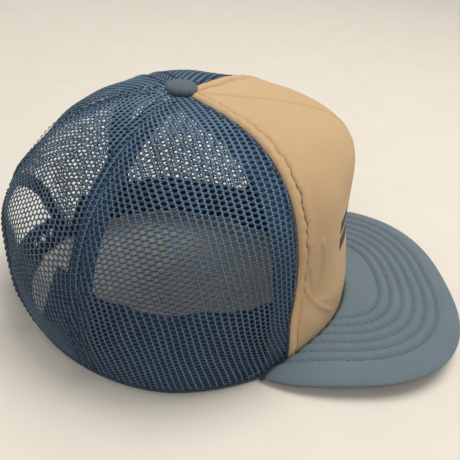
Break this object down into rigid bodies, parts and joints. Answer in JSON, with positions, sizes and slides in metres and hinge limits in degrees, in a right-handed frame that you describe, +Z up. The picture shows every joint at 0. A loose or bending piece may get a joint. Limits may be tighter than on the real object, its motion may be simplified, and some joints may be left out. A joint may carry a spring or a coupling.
{
  "type": "trucker cap",
  "caption": "Trucker cap with a foam-backed front panel, mesh sides and back, a flat quilted brim, a covered button and snap straps across a rear arch.",
  "frame": {"origin": "centre of the head opening, in the plane of its edge", "axes": "+Z up through the crown, the brim points along -Y, the wearer's right is -X"},
  "size_m": [0.1978, 0.2793, 0.1359],
  "materials": {
    "tan_fabric": "smooth polyester face",
    "foam": "soft open foam",
    "mesh": "open nylon mesh",
    "tape": "woven tape",
    "band": "woven cotton",
    "strap": "moulded plastic",
    "board": "moulded sheet",
    "brim_fabric": "brushed cotton",
    "brim_under": "plain cotton",
    "dark_thread": "sewing thread",
    "rivet": "plain",
    "grey_thread": "sewing thread"
  },
  "bodies": {
    "cap": {"front_panel_fabric": "tan_fabric", "front_panel_foam": "foam", "side_mesh_right": "mesh", "side_mesh_left": "mesh", "back_mesh_right": "mesh", "back_mesh_left": "mesh", "front_seam_tape_right": "tape", "front_seam_tape_left": "tape", "side_seam_tape_right": "tape", "side_seam_tape_left": "tape", "back_seam_tape": "tape", "sweatband": "band", "arch_binding": "tape", "strap_sewn_end_right": "strap", "strap_sewn_end_left": "strap", "brim_board": "board", "brim_top_cover": "brim_fabric", "brim_under_cover": "brim_under", "front_topstitch_right": "dark_thread", "front_topstitch_left": "dark_thread", "button_cover": "brim_fabric", "button_core": "board", "button_rivet": "rivet", "brim_stitch_row_1": "grey_thread", "brim_stitch_row_2": "grey_thread", "brim_stitch_row_3": "grey_thread", "brim_stitch_row_4": "grey_thread", "brim_stitch_row_5": "grey_thread", "brim_stitch_row_6": "grey_thread"},
    "strap_with_holes": {"hole_strap": "strap"},
    "strap_with_pegs": {"peg_strap": "strap"}
  },
  "joints": [
    {"name": "hole_strap_hinge", "type": "hinge", "parent": "cap", "child": "strap_with_holes", "pos_m": [0.03616, 0.08342, 0.011], "axis": [-0.1335, -0.2944, -0.9463], "range_deg": [0, 75]},
    {"name": "peg_strap_hinge", "type": "hinge", "parent": "cap", "child": "strap_with_pegs", "pos_m": [-0.03616, 0.08342, 0.011], "axis": [0.1335, -0.2944, -0.9463], "range_deg": [0, 30]}
  ]
}
